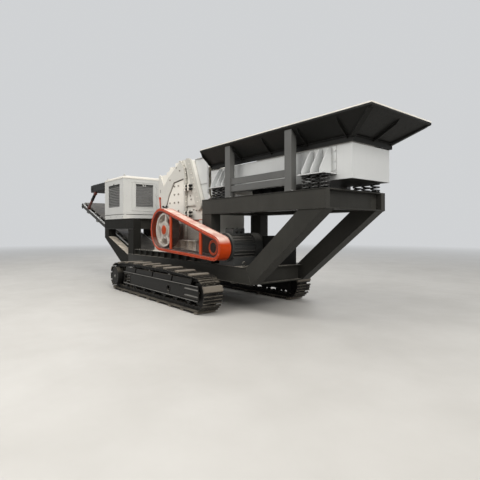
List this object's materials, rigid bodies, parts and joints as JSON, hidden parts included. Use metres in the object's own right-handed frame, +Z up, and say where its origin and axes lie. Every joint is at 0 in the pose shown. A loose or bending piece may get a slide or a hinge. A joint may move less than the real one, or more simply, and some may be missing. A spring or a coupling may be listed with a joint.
{
  "type": "tracked crusher plant",
  "caption": "Crawler-mounted rock crushing plant with a feed hopper, vibrating feeder, crusher with guarded belt drive, power house and a discharge conveyor.",
  "frame": {"origin": "centre of the machine on the ground plane, under the middle of its overall box", "axes": "+Z up, +X towards the feed hopper, conveyor towards -X, belt guard on the -Y side"},
  "size_m": [13.8901, 3, 3.415],
  "materials": {
    "frame_steel": "satin",
    "track_steel": "worn",
    "pad_rubber": "dusty",
    "cream_paint": "satin",
    "orange_paint": "satin",
    "grey_paint": "satin",
    "mid_grey_paint": "satin",
    "dark_paint": "satin",
    "house_paint": "satin",
    "spring_steel": "gloss",
    "belt_rubber": "matt",
    "bare_steel": "worn",
    "mesh_steel": "matt",
    "red_brown_paint": "satin"
  },
  "bodies": {
    "plant": {"lower_beams": "frame_steel", "struts": "frame_steel", "upper_beams": "frame_steel", "upper_posts": "frame_steel", "truss_diagonals": "frame_steel", "truss_posts": "frame_steel", "platform_beams": "frame_steel", "cross_beams": "frame_steel", "crusher_rails": "frame_steel", "carbody_beams": "frame_steel", "track_frame_near": "track_steel", "track_frame_far": "track_steel", "track_chain_near": "track_steel", "track_chain_far": "track_steel", "track_shoes_near": "track_steel", "track_shoes_far": "track_steel", "road_pads_near": "pad_rubber", "road_pads_far": "pad_rubber", "drive_sprockets": "track_steel", "idlers": "track_steel", "track_rollers": "track_steel", "crusher_base": "cream_paint", "rear_housing": "cream_paint", "inlet_housing": "cream_paint", "feed_chute": "grey_paint", "housing_ties": "cream_paint", "rotor_bearings": "dark_paint", "drive_belts": "belt_rubber", "belt_guard": "orange_paint", "guard_mesh": "mesh_steel", "motor": "dark_paint", "feeder_pan": "grey_paint", "feeder_brackets": "grey_paint", "feeder_springs": "spring_steel", "grizzly_bars": "bare_steel", "exciter": "dark_paint", "hopper_flares": "dark_paint", "hopper_rim": "cream_paint", "hopper_posts": "mid_grey_paint", "power_house": "house_paint", "house_roof": "cream_paint", "house_skid": "house_paint", "side_louvre": "mid_grey_paint", "conveyor_frame": "frame_steel", "conveyor_belt": "belt_rubber", "conveyor_drums": "bare_steel", "iron_separator": "dark_paint", "separator_struts": "red_brown_paint", "hydraulic_tank": "dark_paint"},
    "rotor_body": {"rotor_shaft": "bare_steel", "rotor": "bare_steel", "rotor_pulley": "cream_paint"},
    "motor_drive": {"motor_pulley": "orange_paint"},
    "door": {"end_door": "house_paint", "end_louvre": "mid_grey_paint"}
  },
  "joints": [
    {"name": "rotor_spin", "type": "hinge", "parent": "plant", "child": "rotor_body", "pos_m": [1.5131, 0, 1.645], "axis": [0, 1, 0], "continuous": true},
    {"name": "motor_spin", "type": "hinge", "parent": "plant", "child": "motor_drive", "pos_m": [3.5771, -1, 1.295], "axis": [0, 1, 0], "continuous": true},
    {"name": "end_door_hinge", "type": "hinge", "parent": "plant", "child": "door", "pos_m": [-1.7189, 0.315, 2.2], "axis": [0, 0, 1], "range_deg": [0, 110]}
  ],
  "couplings": [
    {"joint": "motor_spin", "follows": "rotor_spin", "ratio": 2.5633}
  ]
}
